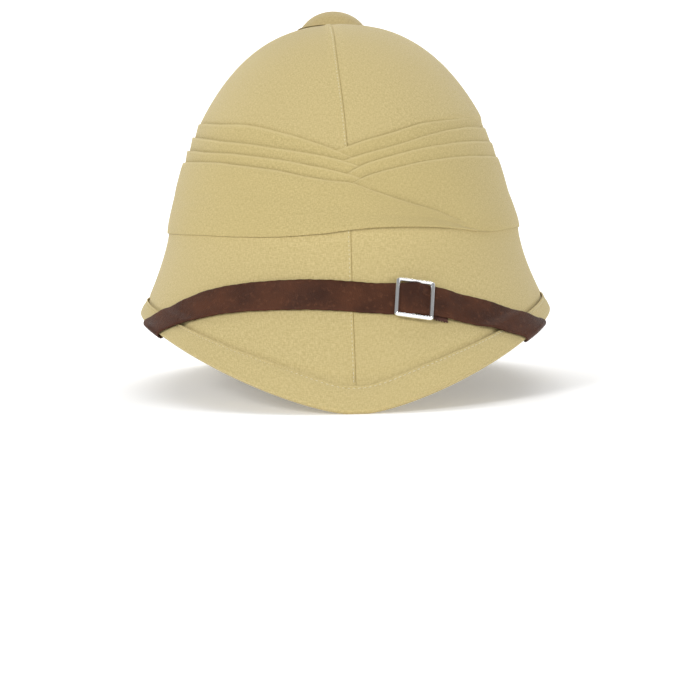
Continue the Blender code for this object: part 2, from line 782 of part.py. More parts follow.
def make_centre_bar(buckle, place, height, cutters):
    """Bar under the strap, joined to the slide by a post at each end."""
    surface = wrap_point(*strap_place(BUCKLE_TURN), 0)
    floor = (place.inverted() @ surface).z + STRAP_CLEARANCE
    boxes = [((0, 0, floor + CENTRE_BAR / 2), (CENTRE_BAR_WIDTH, height - 2 * GAP, CENTRE_BAR))]
    for side in (-1, 1):
        y = side * (height / 2 - GAP - CENTRE_BAR_POST / 2)
        top = BUCKLE_WALL / 2
        boxes.append(((0, y, (floor + top) / 2), (CENTRE_BAR_WIDTH, CENTRE_BAR_POST, top - floor)))
    for number, (centre, size) in enumerate(boxes):
        shape = bmesh.new()
        scale = Matrix.Diagonal((*size, 1))
        bmesh.ops.create_cube(shape, size=1, matrix=Matrix.Translation(centre) @ scale)
        mesh = bpy.data.meshes.new("bar_block_%d" % number)
        shape.to_mesh(mesh)
        shape.free()
        block = add_object("bar_block_%d" % number, mesh, None, cutters)
        block.matrix_world = place
        block.display_type = "WIRE"
        block.hide_render = True
        union = buckle.modifiers.new("Join", "BOOLEAN")
        union.operation = "UNION"
        union.solver = "EXACT"
        union.object = block


def main():
    """Build the helmet in an empty scene."""
    for item in list(bpy.data.objects):
        bpy.data.objects.remove(item, do_unlink=True)
    parts = bpy.data.collections.new("pith_helmet")
    cutters = bpy.data.collections.new("cutters")
    for collection in (parts, cutters):
        bpy.context.scene.collection.children.link(collection)

    khaki = make_material("khaki_cloth", KHAKI, 0.9)
    band_khaki = make_material("band_cloth", BAND_KHAKI, 0.9)
    pith = make_material("pith", PITH, 0.95)
    leather = make_material("brown_leather", BROWN, 0.45)
    chrome = make_material("chrome", CHROME, 0.12, 1.0)
    brass = make_material("brass", BRASS, 0.35, 1.0)

    shell = make_shell(pith, parts)
    make_cover(khaki, parts)
    make_binding(khaki, parts)
    make_pleats(band_khaki, parts)
    make_wrap(band_khaki, parts)
    make_button(khaki, brass, parts)
    strap = make_strap(leather, parts)
    make_strap_tail(leather, parts)
    make_rivets(shell, strap, brass, parts, cutters)
    buckle, place, height = make_buckle(chrome, parts)
    make_centre_bar(buckle, place, height, cutters)


main()
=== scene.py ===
import math

import bpy
import numpy as np
from mathutils import Matrix, Vector


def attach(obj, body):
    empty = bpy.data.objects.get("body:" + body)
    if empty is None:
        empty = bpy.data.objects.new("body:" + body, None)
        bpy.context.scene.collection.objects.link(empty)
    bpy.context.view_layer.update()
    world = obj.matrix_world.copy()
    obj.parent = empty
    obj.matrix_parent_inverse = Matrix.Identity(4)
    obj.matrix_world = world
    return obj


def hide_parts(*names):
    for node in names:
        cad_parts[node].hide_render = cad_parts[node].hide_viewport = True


MM = 0.001

# Crown
CROWN_HALF_WIDTH = 0.1068
CROWN_FRONT = 0.118
CROWN_BACK = 0.120
CROWN_HEIGHT = 0.1255
CROWN_LEAN = 0.0093
POLE_SHIFT = 0.004
DOME_ROUND = 2.466
DOME_POINT = 1.42

# Brim
ROOT_HEIGHT = 0.092
SIDE_SPREAD = 0.0173
PEAK_SPREAD = 0.052
TAIL_SPREAD = 0.066
SIDE_ARCH = 0.044
FLARE_SIDE = 1.34
FLARE_PEAK = 1.6
ARCH_PEAK = 1.33
ARCH_TAIL = 2.0
PEAK_FLAT = math.radians(2.5)
TAIL_FLAT = math.radians(18)
MIDDLE = (CROWN_FRONT + PEAK_SPREAD - CROWN_BACK - TAIL_SPREAD) / 2

# Walls under the cover's outer face
SHELL_OUT = 1.3 * MM
SHELL_IN = 4.3 * MM
BAND_SEAT = 3 * MM
SEAT_TOP_STEP = (-0.015, 0.035)
SEAT_FOOT_STEP = (-0.035, 0.008)

# Upper edges of the pleats and of the wide turn, and its hem, as shares of the crown's height,
# along the band's run in degrees: from its inner end at the front, round by the right and back
RUN_COLUMNS = ("run", "top", "middle", "low", "wrap", "hem")
RUN_TABLE = (
    (-9, 0.330, 0.280, 0.218, 0.160, -0.004),
    (-4, 0.352, 0.298, 0.237, 0.181, 0.004),
    (-1, 0.363, 0.309, 0.249, 0.197, 0.009),
    (3, 0.380, 0.324, 0.274, 0.221, 0.014),
    (7, 0.396, 0.340, 0.296, 0.244, 0.018),
    (15, 0.424, 0.367, 0.326, 0.272, 0.020),
    (28, 0.470, 0.414, 0.364, 0.306, 0.014),
    (46, 0.504, 0.461, 0.399, 0.331, -0.007),
    (72, 0.530, 0.484, 0.413, 0.345, 0.010),
    (130, 0.512, 0.455, 0.397, 0.339, 0.004),
    (180, 0.500, 0.445, 0.390, 0.335, 0.000),
    (230, 0.510, 0.452, 0.395, 0.338, 0.004),
    (278, 0.520, 0.458, 0.393, 0.338, 0.006),
    (310, 0.493, 0.416, 0.362, 0.317, -0.003),
    (324, 0.475, 0.393, 0.342, 0.296, -0.011),
    (338, 0.431, 0.361, 0.312, 0.265, -0.014),
    (351, 0.378, 0.327, 0.277, 0.224, -0.004),
    (357, 0.344, 0.309, 0.256, 0.212, 0.005),
    (361, 0.322, 0.291, 0.240, 0.202, 0.011),
    (365, 0.300, 0.274, 0.222, 0.182, 0.016),
    (369, 0.278, 0.255, 0.203, 0.161, 0.019),
    (376.5, 0.240, 0.215, 0.165, 0.123, 0.020),
    (387, 0.190, 0.170, 0.120, 0.081, 0.015),
    (396, 0.150, 0.130, 0.080, 0.036, 0.004),
    (407, 0.100, 0.080, 0.030, -0.005, -0.0082),
)
# Columns: strip, then in degrees along its run where its inner end starts, where its outer end stops,
# where its inner end dips under the other side's strip, and where its outer end dips in turn
STRIP_TABLE = (
    ("top", -8.5, 367, -4.0, 361.5),
    ("middle", -8.5, 369, -2.3, 364.0),
    ("low", -7.0, 369, -0.7, 364.3),
    ("wrap", -6.0, 407.3, 0.8, 999),
)

# Middle line of the strap: turn in degrees, reach from 1 at the brim's root over 2, the rim, to 3
STRAP_COLUMNS = ("turn", "reach")
STRAP_TABLE = (
    (-84, 2.88),
    (-79, 2.60),
    (-72.5, 2.28),
    (-64.5, 2.00),
    (-61, 1.915),
    (-57, 1.826),
    (-51.6, 1.718),
    (-43, 1.583),
    (-31.1, 1.469),
    (-17.2, 1.396),
    (-4.2, 1.371),
    (8.8, 1.403),
    (18.6, 1.451),
    (29.4, 1.555),
    (38, 1.66),
    (44.7, 1.766),
    (51, 1.88),
    (57, 2.00),
    (66, 2.28),
    (74, 2.60),
    (80, 2.88),
)
STRAP_WIDTH = 18 * MM
STRAP_WALL = 1.5 * MM
STRAP_CLEARANCE = 0.7 * MM
FOLD_CLEARANCE = 0.25 * MM
CROSS_STEPS = 9
FOLD_SHAPE = 2.4
HEM_STEP_ROWS = (1.71, 1.79)
RIM_STEP_ROWS = (1.85, 1.95)
TAIL_WALL = 1.4 * MM
TAIL_LENGTH = 18 * MM
TAIL_SLIP = 1.5 * MM
TAIL_GAP = 0.25 * MM
OUTSIDE_RUN = 0.135
CENTRE_BAR = 1.2 * MM
BUCKLE_TURN = math.radians(16.75)
BUCKLE_WIDTH = 21.2 * MM
BUCKLE_HEIGHT = 23.8 * MM
BUCKLE_LEAN = math.radians(-5.5)
BUCKLE_BAR = 2.4 * MM

BUTTON_RADIUS = 22.0 * MM
BUTTON_HEIGHT = 8.9 * MM
BUTTON_ROUND = 25.2 * MM


def ramp(value, low, high):
    """Smooth step from 0 at low to 1 at high."""
    share = np.clip((np.asarray(value, float) - low) / (high - low), 0, 1)
    return share * share * (3 - 2 * share)


def bump(value, centre, width):
    """Bell of height 1 round a centre."""
    return np.exp(-((np.asarray(value, float) - centre) / width) ** 2)


def table_value(table, columns, name, at):
    """Smooth value of a named column between the rows of a table, by its first column."""
    places = np.array([row[0] for row in table], float)
    values = np.array([row[columns.index(name)] for row in table], float)
    at = np.clip(at, places[0], places[-1])
    i = np.clip(np.searchsorted(places, at, side="right") - 1, 0, len(places) - 2)
    rise = np.append(values[1:], values[-1]) - np.append(values[0], values[:-1])
    slopes = rise / (np.append(places[1:], places[-1]) - np.append(places[0], places[:-1]))
    width = places[i + 1] - places[i]
    share = (at - places[i]) / width
    back = 1 - share
    start = (1 + 2 * share) * back ** 2 * values[i] + share * back ** 2 * width * slopes[i]
    end = share ** 2 * (3 - 2 * share) * values[i + 1] - share ** 2 * back * width * slopes[i + 1]
    return start + end


def stack(x, y, z):
    return np.stack(np.broadcast_arrays(x, y, z), axis=-1)


def unit(vectors):
    return vectors / np.linalg.norm(vectors, axis=-1, keepdims=True)


def times(vectors, factor):
    return vectors * np.asarray(factor)[..., None]


def rim_height(turn):
    """Height of the rim above the floor."""
    front = np.cos(turn) > 0
    flat = np.where(front, PEAK_FLAT, TAIL_FLAT)
    power = np.where(front, ARCH_PEAK, ARCH_TAIL)
    share = (np.abs(np.sin(turn)) - np.sin(flat)) / (1 - np.sin(flat))
    return SIDE_ARCH * np.maximum(share, 0) ** power


def skin(row, turn):
    """Smooth outer surface of the helmet: row 0 at the pole, 1 at the crown's foot, 2 at the rim."""
    row, turn = np.broadcast_arrays(np.asarray(row, float), np.asarray(turn, float))
    spread = np.sin(np.clip(row, 0, 1) * math.pi / 2)
    across = spread * np.sin(turn) - POLE_SHIFT / CROWN_HALF_WIDTH * (1 - spread) ** 2
    along = -spread * np.cos(turn)
    share = np.minimum(np.hypot(across, along), 1)
    height = (1 - share ** DOME_ROUND) ** (1 / DOME_POINT)
    length = np.where(along < 0, CROWN_FRONT, CROWN_BACK)
    y = length * along + CROWN_LEAN * height + MIDDLE
    crown = stack(CROWN_HALF_WIDTH * across, y, ROOT_HEIGHT + CROWN_HEIGHT * height)
    depth = np.maximum(row - 1, 0)
    front = np.cos(turn) > 0
    length = np.where(front, CROWN_FRONT, CROWN_BACK)
    reach = np.where(front, PEAK_SPREAD, TAIL_SPREAD)
    x = np.sin(turn) * (CROWN_HALF_WIDTH + SIDE_SPREAD * depth ** FLARE_SIDE)
    y = -np.cos(turn) * (length + reach * depth ** FLARE_PEAK) + MIDDLE
    brim = stack(x, y, ROOT_HEIGHT + (rim_height(turn) - ROOT_HEIGHT) * depth)
    return np.where((row <= 1)[..., None], crown, brim)


def skin_axes(row, turn):
    """Unit vectors of the smooth surface: straight out of it, and down along it."""
    step = 0.002
    down = skin(np.asarray(row) + step, turn) - skin(np.asarray(row) - step, turn)
    around = skin(row, np.asarray(turn) + step) - skin(row, np.asarray(turn) - step)
    return unit(np.cross(down, around)), unit(down)


def lifted(row, turn, lift):
    """Points at a lift above the smooth surface."""
    out, _ = skin_axes(row, turn)
    return skin(row, turn) + times(out, lift)


def row_at_height(share, turn):
    """Row whose height above the crown's foot is a share of the crown's height."""
    share, turn = np.broadcast_arrays(np.asarray(share, float), np.asarray(turn, float))
    below = 1 - share * CROWN_HEIGHT / (ROOT_HEIGHT - rim_height(turn))
    spread = (1 - np.clip(share, 0, 1) ** DOME_POINT) ** (1 / DOME_ROUND)
    return np.where(share < 0, below, np.arcsin(spread) * 2 / math.pi)


def band_edge(name, run):
    """Height share of one edge of the band along its run in radians."""
    return table_value(RUN_TABLE, RUN_COLUMNS, name, np.degrees(run))


def single_run(turn):
    """Run of the band that shows at a turn, with its ends at the front seam."""
    return np.mod(turn, 2 * math.pi)


def seat_depth(row, turn):
    """How far the cover and shell are sunk under the band."""
    run = single_run(turn)
    lapped = band_edge("top", run + 2 * math.pi) * (run < 0.15)
    top = row_at_height(np.maximum(band_edge("top", run), lapped), turn)
    foot = row_at_height(band_edge("hem", run), turn)
    rise = ramp(row - top, SEAT_TOP_STEP[0], SEAT_TOP_STEP[1])
    return BAND_SEAT * rise * (1 - ramp(row - foot, SEAT_FOOT_STEP[0], SEAT_FOOT_STEP[1]))


def unevenness(row, turn, size):
    """Slow unevenness of cloth that was pulled over a stiff body by hand."""
    wave = np.sin(3 * turn + 4.1 * row + 0.6) * 0.5 + np.sin(7 * turn - 5.3 * row + 2.1) * 0.3
    return size * (wave + np.sin(13 * turn + 9.7 * row + 4.4) * 0.2)


def mesh_object(name, verts, faces, uvs, material):
    """Smooth-shaded object from points, faces and a UV pair for each face corner."""
    mesh = bpy.data.meshes.new(name)
    mesh.from_pydata(verts.tolist(), [], faces)
    layer = mesh.uv_layers.new(name="UVMap")
    layer.data.foreach_set("uv", np.asarray(uvs, np.float32).ravel())
    mesh.shade_smooth()
    mesh.set_sharp_from_angle(angle=math.radians(42))
    mesh.materials.append(material)
    item = bpy.data.objects.new(name, mesh)
    bpy.context.scene.collection.objects.link(item)
    return item


def loft(name, rings, material, closed, slide=0.0):
    """Closed solid through rings of points (columns, points, 3), with UVs in metres."""
    columns, count, _ = rings.shape
    middle = rings[:, count // 4]
    gaps = np.linalg.norm(np.roll(middle, -1, axis=0) - middle, axis=1)
    across = slide + np.append(0, np.cumsum(gaps))
    ring = rings[columns // 2]
    down = np.append(0, np.cumsum(np.linalg.norm(np.roll(ring, -1, axis=0) - ring, axis=1)))
    spans = columns if closed else columns - 1
    c, k = np.meshgrid(np.arange(spans), np.arange(count), indexing="ij")
    c, k = c.ravel(), k.ravel()
    c2, k2 = (c + 1) % columns, (k + 1) % count
    faces = np.stack((c * count + k, c * count + k2, c2 * count + k2, c2 * count + k), axis=1)
    u = np.stack((across[c], across[c], across[c + 1], across[c + 1]), axis=1)
    v = np.stack((down[k], down[k + 1], down[k + 1], down[k]), axis=1)
    uvs = np.stack((u, v), axis=2).reshape(-1, 2)
    faces = faces.tolist()
    if not closed:
        extra = []
        for column, flip in ((0, False), (columns - 1, True)):
            base = column * count
            for i in range(count // 2 - 1):
                quad = [base + i, base + count - 1 - i, base + count - 2 - i, base + i + 1]
                if flip:
                    quad.reverse()
                faces.append(quad)
                extra += [(across[column], down[j - base]) for j in quad]
        uvs = np.concatenate((uvs, np.array(extra)))
    return mesh_object(name, rings.reshape(-1, 3), faces, uvs, material)


def rounded(outer, inner, steps=3):
    """Rings of a thin layer: its outer points, a rounded end, its inner points back, a rounded end."""
    def end(first, second, before):
        half = (first - second) / 2
        size = np.linalg.norm(half, axis=-1, keepdims=True)
        way = unit(first - before) * size
        middle = (first + second) / 2
        angles = [math.pi * (i + 1) / (steps + 1) for i in range(steps)]
        return np.stack([middle + half * math.cos(a) + way * math.sin(a) for a in angles], axis=1)
    tip = end(outer[:, -1], inner[:, -1], outer[:, -2])
    head = end(inner[:, 0], outer[:, 0], inner[:, 1])
    return np.concatenate((outer, tip, inner[:, ::-1], head), axis=1)


# Materials

class Look:
    """Node tree of one material, with the kinds of node that the looks use."""

    def __init__(self, name):
        self.material = bpy.data.materials.new(name)
        self.material.use_nodes = True
        self.tree = self.material.node_tree
        self.shader = self.tree.nodes["Principled BSDF"]
        place = self.tree.nodes.new("ShaderNodeTexCoord").outputs
        self.uv, self.object = place["UV"], place["Object"]

    def feed(self, node, inputs):
        """Gives each input a value or another node's output."""
        for key, value in inputs.items():
            socket = node.inputs[key]
            if isinstance(value, bpy.types.NodeSocket):
                self.tree.links.new(value, socket)
            elif socket.type == "RGBA":
                socket.default_value = (*value, 1)
            else:
                socket.default_value = value

    def set(self, **values):
        """Gives inputs of the shader, with _ for each space in their names."""
        self.feed(self.shader, {key.replace("_", " "): value for key, value in values.items()})

    def add(self, kind, inputs, output, **settings):
        node = self.tree.nodes.new("ShaderNode" + kind)
        for key, value in settings.items():
            setattr(node, key, value)
        self.feed(node, inputs)
        return node.outputs[output]

    def mix(self, factor, first, second):
        return self.add("Mix", {"Factor": factor, "A": first, "B": second}, "Result", data_type="RGBA")

    def noise(self, vector, scale, detail=3.0):
        inputs = {"Vector": vector, "Scale": scale, "Detail": detail, "Roughness": 0.55}
        return self.add("TexNoise", inputs, "Fac")

    def narrow(self, value, low, high, to_low=0.0, to_high=1.0):
        """Spreads the part of a value between low and high."""
        inputs = {"Value": value, "From Min": low, "From Max": high, "To Min": to_low, "To Max": to_high}
        return self.add("MapRange", inputs, "Result")

    def stretched(self, scale, turn=0.0):
        """UV place, stretched and turned."""
        inputs = {"Vector": self.uv, "Scale": scale, "Rotation": (0, 0, turn)}
        return self.add("Mapping", inputs, "Vector")

    def maths(self, operation, first, second):
        return self.add("Math", {0: first, 1: second}, "Value", operation=operation)

    def relief(self, height, distance, strength):
        inputs = {"Height": height, "Distance": distance, "Strength": strength}
        self.set(Normal=self.add("Bump", inputs, "Normal"))


def cloth_material(name, base, dark, light, thread=0.00055, fold_highlight=None):
    """Plain woven cotton: threads along the piece's own length and width, with a painted highlight mixed in
    along the fold at the piece's upper edge.
    """
    look = Look(name)
    weave = []
    for turn in (0, math.pi / 2):
        inputs = {"Vector": look.stretched((1, 1, 1), turn), "Scale": math.pi / 10 / thread,
                  "Distortion": 0.8, "Detail": 1.5, "Detail Scale": 0.35}
        weave.append(look.add("TexWave", inputs, "Fac", wave_type="BANDS", bands_direction="X"))
    crossed = look.maths("MULTIPLY", *weave)
    along = look.noise(look.stretched((520, 1900, 1)), 1.0, 2.0)
    across = look.noise(look.stretched((1900, 520, 1)), 1.0, 2.0)
    threads = look.maths("ADD", along, across)
    slow = look.narrow(look.noise(look.object, 22, 4.0), 0.33, 0.67)
    colour = look.mix(look.narrow(threads, 0.80, 1.20), dark, light)
    colour = look.mix(look.narrow(slow, 0, 1, 0.15, 0.45), colour, base)
    # Painted highlight: the first millimetre below the upper folded edge is mixed towards a paler colour,
    # standing in for light catching the fold.
    if fold_highlight:
        down = look.add("SeparateXYZ", {"Vector": look.uv}, "Y")
        colour = look.mix(look.narrow(down, 0.0004, 0.0014, 0.65, 0.0), colour, fold_highlight)
    look.set(Base_Color=colour, Roughness=0.88, Specular_IOR_Level=0.25, Sheen_Weight=0.22,
             Sheen_Roughness=0.4)
    look.relief(look.maths("ADD", crossed, look.maths("MULTIPLY", threads, 0.9)), 0.00016, 0.55)
    return look.material


def leather_material(name, base, dark, light):
    """Worn brown leather with a fine grain and cracks across it."""
    look = Look(name)
    patches = look.narrow(look.noise(look.object, 55, 5.0), 0.35, 0.65)
    cells = {"Vector": look.stretched((1150, 620, 1)), "Scale": 1.0}
    cracks = look.narrow(look.add("TexVoronoi", cells, "Distance", feature="DISTANCE_TO_EDGE"), 0.0, 0.09)
    colour = look.mix(patches, dark, base)
    colour = look.mix(look.narrow(look.noise(look.object, 420, 4.0), 0.55, 0.75, 0.0, 0.45), colour, light)
    colour = look.mix(look.narrow(cracks, 0, 1, 0.35, 0.0), colour, dark)
    look.set(Base_Color=colour, Roughness=look.narrow(patches, 0, 1, 0.45, 0.60), Specular_IOR_Level=0.17)
    fine = look.noise(look.object, 1400)
    look.relief(look.maths("ADD", look.maths("MULTIPLY", cracks, 0.5), fine), 0.00022, 0.7)
    return look.material


def metal_material(name, base, roughness, spots, dents):
    """Bright metal with faint smears."""
    look = Look(name)
    smears = look.noise(look.object, 600, 4.0)
    smeared = look.narrow(smears, 0.35, 0.75, roughness, roughness + spots)
    look.set(Base_Color=base, Metallic=1.0, Roughness=smeared)
    look.relief(smears, dents, 0.5)
    return look.material


def thread_material(name, base):
    look = Look(name)
    tone = look.noise(look.object, 900)
    look.set(Base_Color=look.mix(tone, tuple(c * 0.8 for c in base), base), Roughness=0.6)
    return look.material


def plain_material(name, colour, roughness):
    """Pale paper that glows a little, so that the backdrop is as light as the photograph's."""
    look = Look(name)
    tone = look.noise(look.object, 3)
    look.set(Base_Color=look.mix(tone, colour, tuple(c * 0.995 for c in colour)), Roughness=roughness,
             Specular_IOR_Level=0.1, Emission_Color=(1, 1, 1), Emission_Strength=0.22)
    return look.material


# Pieces

SEAM_OFFSETS = np.array((0.0, 0.2, 0.4, 0.6, 0.8, 1.0, 1.2, 1.45, 1.8, 2.2, 2.6, 3.0, 3.5, 4.2, 5.2)) * MM
SEAM_STITCHES = 1.0 * MM
SEAM_RISE = 0.5 * MM
SEAM_LEAN = 3.9 * MM
SEAM_LEAN_ROWS = (0.35, 0.80)
SEAM_UNDER_OFFSETS = np.array((-2.6, -1.6, -0.8, -0.4, -0.15)) * MM
SEAM_PITCH = 2.4 * MM
SEAM_STITCH = 1.8 * MM
FRONT_SEAM_COSINE = 0.9999
STITCH_SINK = 0.18 * MM
COVER_UNEVEN = 0.22 * MM
CLOTH = 0.6 * MM
HEM_START = 1.82
HEM_TIP_RISE = 0.04


def seam_speed(row, turn):
    """Metres along the surface for one radian of turn."""
    return np.linalg.norm(skin(row, turn + 0.002) - skin(row, turn - 0.002), axis=-1) / 0.004


def seam_turn(turn, row):
    """Turn of a seam at each row: the front one leans a little to the left on the crown."""
    if math.cos(turn) < FRONT_SEAM_COSINE:
        return np.full(np.shape(row), turn)
    return turn - SEAM_LEAN * (1 - ramp(row, *SEAM_LEAN_ROWS)) / seam_speed(row, turn)


def make_panel(name, start, stop, start_over, stop_over, material):
    """Cloth panel between two seams, folded at the ones where it lies over its neighbour."""
    rows = np.concatenate((np.linspace(0.1, 0.56, 26)[:-1], np.linspace(0.56, 0.80, 30)[:-1],
                           np.linspace(0.80, 0.93, 9)[:-1], np.linspace(0.93, 1.06, 22)[:-1],
                           np.linspace(1.06, 1.76, 34)[:-1], np.linspace(1.76, 1.93, 14)))
    ends = []
    for turn, over in ((start, start_over), (stop, stop_over)):
        offsets = SEAM_OFFSETS if over else np.concatenate((SEAM_UNDER_OFFSETS, SEAM_OFFSETS))
        ends.append((turn, over, offsets))
    (turn_a, over_a, off_a), (turn_b, over_b, off_b) = ends
    r = rows[:, None]
    speed_a, speed_b = seam_speed(rows, turn_a)[:, None], seam_speed(rows, turn_b)[:, None]
    left = seam_turn(turn_a, r) + off_a[None] / speed_a
    right = (seam_turn(turn_b, r) - off_b[None] / speed_b)[:, ::-1]
    share = np.linspace(0, 1, 40)[1:-1][None]
    inside = left[:, -1:] + (right[:, :1] - left[:, -1:]) * share
    turns = np.concatenate((left, inside, right), axis=1)
    near = np.concatenate((off_a, np.full(inside.shape[1] + len(off_b), 1.0)))
    far = np.concatenate((np.full(len(off_a) + inside.shape[1], 1.0), off_b[::-1]))
    lift = -seat_depth(r, turns) + unevenness(r, turns, COVER_UNEVEN)
    lift = lift - 0.75 * MM * ramp(r, 1.775, 1.80)
    for distance, over in ((near, over_a), (far, over_b)):
        if over:
            edge = SEAM_RISE * (1 - ramp(distance, 2.0 * MM, 3.4 * MM))
            edge = edge - STITCH_SINK * bump(distance, SEAM_STITCHES, 0.35 * MM)
            edge = edge - 0.12 * MM * bump(distance, 0, 0.3 * MM)
        else:
            edge = -0.25 * MM * bump(np.maximum(distance, 0), 0, 0.35 * MM)
        lift = lift + edge[None]
    outer = lifted(r, turns, lift)
    inner = lifted(r, turns, lift - CLOTH)
    rings = rounded(np.swapaxes(outer, 0, 1), np.swapaxes(inner, 0, 1))
    return loft(name, rings, material, closed=False, slide=start)


def hem_row(turn):
    """Row of the hem's sewn edge."""
    return HEM_START + HEM_TIP_RISE * np.maximum(np.cos(turn), 0) ** 40


HEM_OUT = 1.3 * MM
HEM_IN = 5.6 * MM
HEM_WALL = 0.8 * MM
HEM_STITCHES = 1.3 * MM
HEM_PITCH = 3.0 * MM
HEM_STITCH = 2.1 * MM
HEM_EDGE_LIFT = 0.85 * MM
RIM_STEPS = 1080
NOSE = 1.75 * MM
NOSE_SHAPE = 3.0
TAPER_ROWS = (1.9, 1.965)


def rim_turns(count):
    """Turns round the rim in even steps along it, from the back round by the left."""
    turn = np.linspace(-math.pi, math.pi, 4001)
    points = skin(2.0, turn)
    length = np.append(0, np.cumsum(np.linalg.norm(np.diff(points, axis=0), axis=1)))
    return np.interp(np.linspace(0, length[-1], count + 1)[:-1], length, turn), length[-1]


def rim_depth(turn):
    """Metres down the brim for one row, at the rim."""
    return np.linalg.norm(skin(2.0, turn) - skin(1.96, turn), axis=-1) / 0.04


def rim_nose(turn):
    """Middle of the brim's rounded edge, which touches the rim's height, and its row."""
    out, down = skin_axes(2.0, turn)
    centre = skin(2.0, turn) + out * (HEM_OUT - NOSE)
    power = NOSE_SHAPE / (NOSE_SHAPE - 1)
    reach = NOSE * (np.abs(out[..., 2]) ** power + np.abs(down[..., 2]) ** power) ** (1 / power)
    move = (rim_height(turn) + reach - centre[..., 2]) / down[..., 2]
    return centre + times(down, move), 2 + move / rim_depth(turn)


def squared(angle, power):
    """Size of a rounded square at an angle, against a circle of the same width."""
    return (np.abs(np.cos(angle)) ** power + np.abs(np.sin(angle)) ** power) ** (-1 / power)


def inner_depth(row):
    """Depth of the brim's inside below its smooth outside, thinner at the edge."""
    hem = SHELL_IN + (HEM_IN - SHELL_IN) * ramp(row, *HEM_STEP_ROWS)
    return hem - (HEM_IN + HEM_OUT - 2 * NOSE) * ramp(row, *TAPER_ROWS)


def hem_rings(turns, wall, pucker):
    """Points of one face of the hem: outer leg, rounded nose and inner leg."""
    out, down = skin_axes(2.0, turns)
    centre, nose_row = rim_nose(turns)
    depth = rim_depth(turns)
    start = hem_row(turns)
    points = []
    shares = np.array((0, 0.4, 0.8, 1.1, 1.4, 1.7, 2.1, 2.6, 3.4)) * MM
    spots = [start + s / depth for s in shares]
    last = spots[-1]
    spots += [last + (nose_row - last) * f for f in (0.15, 0.3, 0.45, 0.6, 0.75, 0.9, 1.0)]
    for row in spots:
        s = (row - start) * depth
        lift = HEM_EDGE_LIFT + (HEM_OUT - HEM_EDGE_LIFT) * ramp(s, 1.6 * MM, 5 * MM)
        lift = lift - (0.28 + 0.22 * pucker) * MM * bump(s, HEM_STITCHES, 0.42 * MM)
        lift = lift + 0.12 * MM * pucker * bump(s, 0, 0.6 * MM)
        soft = ramp(s, 1 * MM, 4 * MM) * (1 - ramp(row, nose_row - 0.02, nose_row))
        lift = lift + unevenness(row * 1.7, turns * 1.3, 0.2 * MM) * soft
        points.append(lifted(row, turns, lift - wall))
    for i in range(1, 14):
        angle = math.pi * i / 14
        way = out * math.cos(angle) + down * math.sin(angle)
        points.append(centre + way * (NOSE * squared(angle, NOSE_SHAPE) - wall))
    for f in (1.0, 0.9, 0.78, 0.66, 0.54, 0.42, 0.3, 0.15, 0.0):
        row = start + (nose_row - start) * f
        points.append(lifted(row, turns, wall - inner_depth(row)))
    return np.stack(points, axis=1)


def make_hem(material):
    """Hem of cloth folded round the rim, with puckers between its stitches."""
    turns, length = rim_turns(RIM_STEPS)
    count = round(length / HEM_PITCH)
    pucker = np.cos(np.arange(len(turns)) / len(turns) * count * 2 * math.pi)
    outer = hem_rings(turns, 0.0, pucker)
    inner = hem_rings(turns, HEM_WALL, pucker * 0)
    return loft("brim_hem", rounded(outer, inner), material, closed=True)


def capsules(name, centres, ways, ups, length, radius, material):
    """Short rounded stitches, each a bent grain of thread."""
    count, around = len(centres), 6
    profile = ((-0.5, 0.35), (-0.38, 0.85), (0.0, 1.0), (0.38, 0.85), (0.5, 0.35))
    sides = np.cross(ways, ups)
    verts, faces = [], []
    for along, size in profile:
        for k in range(around):
            angle = 2 * math.pi * k / around
            sink = -1.6 * radius * (2 * abs(along)) ** 3
            beside, above = math.cos(angle) * size * radius, math.sin(angle) * size * radius + sink
            verts.append(centres + ways * (along * length) + (sides * beside + ups * above))
    verts = np.stack(verts, axis=1).reshape(-1, 3)
    per = len(profile) * around
    for n in range(count):
        base = n * per
        for ring in range(len(profile) - 1):
            for k in range(around):
                a, b = base + ring * around + k, base + ring * around + (k + 1) % around
                faces.append((a, b, b + around, a + around))
        faces.append(tuple(base + k for k in reversed(range(around))))
        faces.append(tuple(base + per - around + k for k in range(around)))
    total = sum(len(face) for face in faces)
    return mesh_object(name, verts, faces, np.zeros((total, 2)), material)


def along_line(rows, turns, lifts, pitch):
    """Centres, directions and normals at even steps on a line over the surface."""
    fine = lifted(rows, turns, lifts)
    length = np.append(0, np.cumsum(np.linalg.norm(np.diff(fine, axis=0), axis=1)))
    at = np.arange(pitch / 2, length[-1], pitch)
    row, turn, lift = (np.interp(at, length, values) for values in (rows, turns, lifts))
    centres = lifted(row, turn, lift)
    ahead = np.stack([np.interp(at + 0.0005, length, fine[:, i]) for i in range(3)], axis=1)
    behind = np.stack([np.interp(at - 0.0005, length, fine[:, i]) for i in range(3)], axis=1)
    ups, _ = skin_axes(row, turn)
    ways = unit(ahead - behind)
    ups = unit(ups - times(ways, np.sum(ups * ways, axis=-1)))
    return centres, ways, ups


def seam_stitches(name, turn, side, material):
    """Stitches along a folded seam, from the button down to the hem, without those the band hides."""
    rows = np.linspace(0.2, hem_row(turn) - 0.012, 900)
    turns = seam_turn(turn, rows) + side * SEAM_STITCHES / seam_speed(rows, turn)
    lifts = SEAM_RISE - STITCH_SINK - seat_depth(rows, turns) + unevenness(rows, turns, COVER_UNEVEN)
    top = float(row_at_height(band_edge("top", single_run(np.array([turn]))), turn)[0])
    foot = float(row_at_height(band_edge("hem", single_run(np.array([turn]))), turn)[0])
    parts = []
    for keep in (rows < top + 0.01, rows > foot + 0.004):
        parts.append(along_line(rows[keep], turns[keep], lifts[keep], SEAM_PITCH))
    centres, ways, ups = (np.concatenate([part[i] for part in parts]) for i in range(3))
    return capsules(name, centres, ways, ups, SEAM_STITCH, 0.24 * MM, material)


